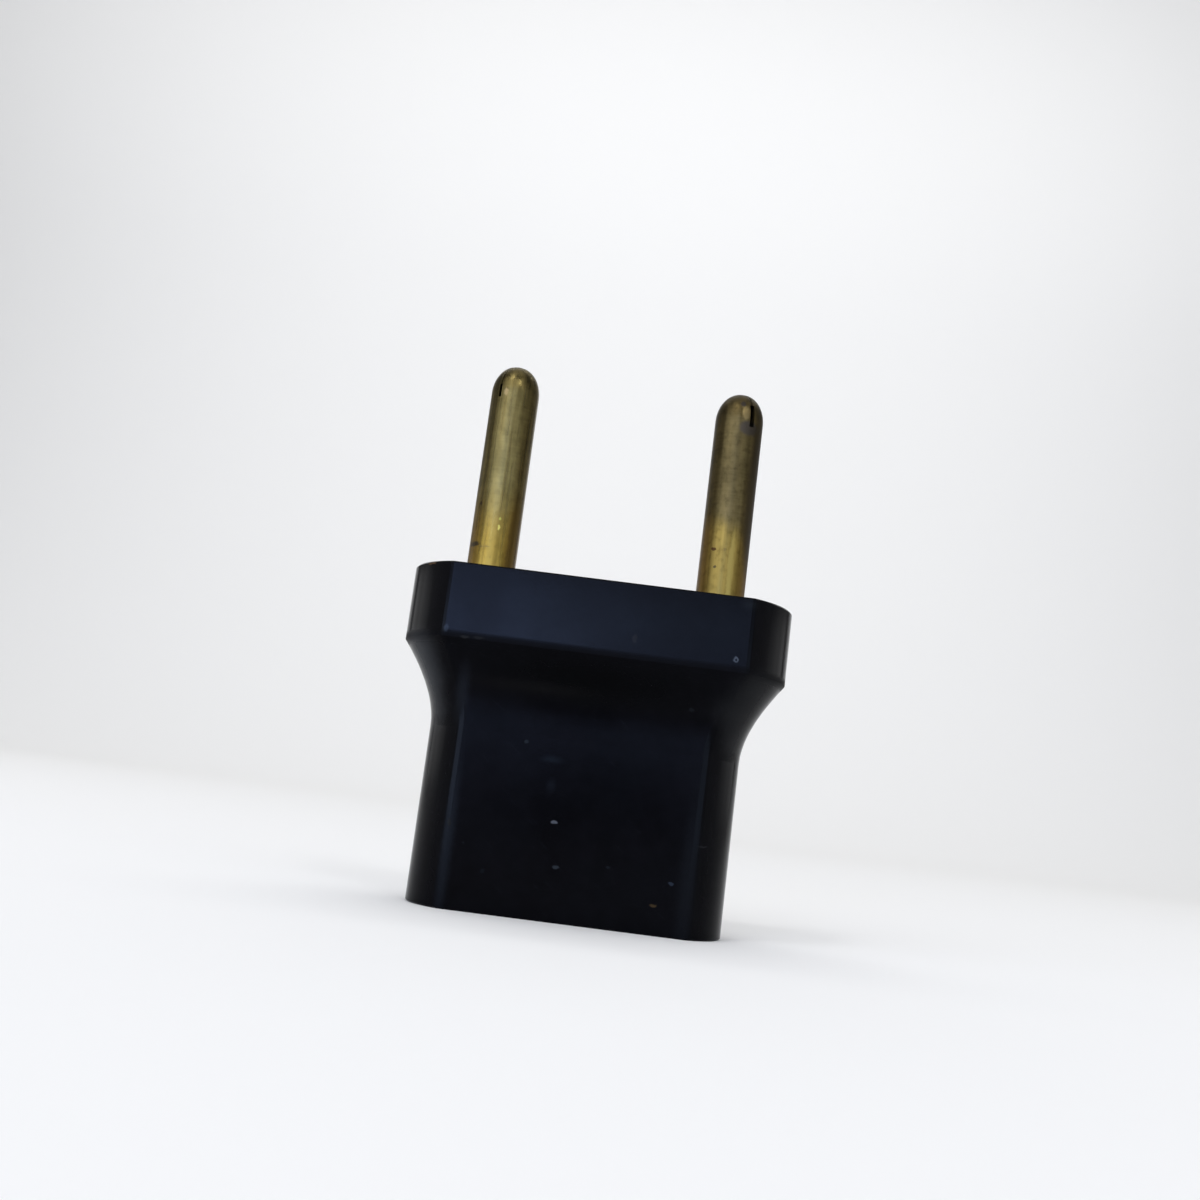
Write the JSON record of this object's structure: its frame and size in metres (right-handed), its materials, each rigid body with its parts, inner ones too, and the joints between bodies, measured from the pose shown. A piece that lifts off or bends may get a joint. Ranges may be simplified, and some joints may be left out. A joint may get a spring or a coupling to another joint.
{
  "type": "plug adapter",
  "caption": "Flanged black plug adapter: round split brass pins above a waisted moulded body with flat blade slots in its socket face.",
  "frame": {"origin": "middle of the socket face, which the adapter stands on", "axes": "+Z along the pins, X through both pins, -Y towards the front face in the picture"},
  "size_m": [0.031, 0.013, 0.0445],
  "materials": {
    "black_plastic": "satin moulded, lightly worn",
    "plate_plastic": "satin moulded",
    "pin_brass": "tarnished towards the tips",
    "contact_brass": "bright strip"
  },
  "bodies": {
    "root": {"housing": "black_plastic", "socket_plate": "plate_plastic", "left_pin": "pin_brass", "right_pin": "pin_brass", "left_contact": "contact_brass", "right_contact": "contact_brass"}
  },
  "joints": []
}
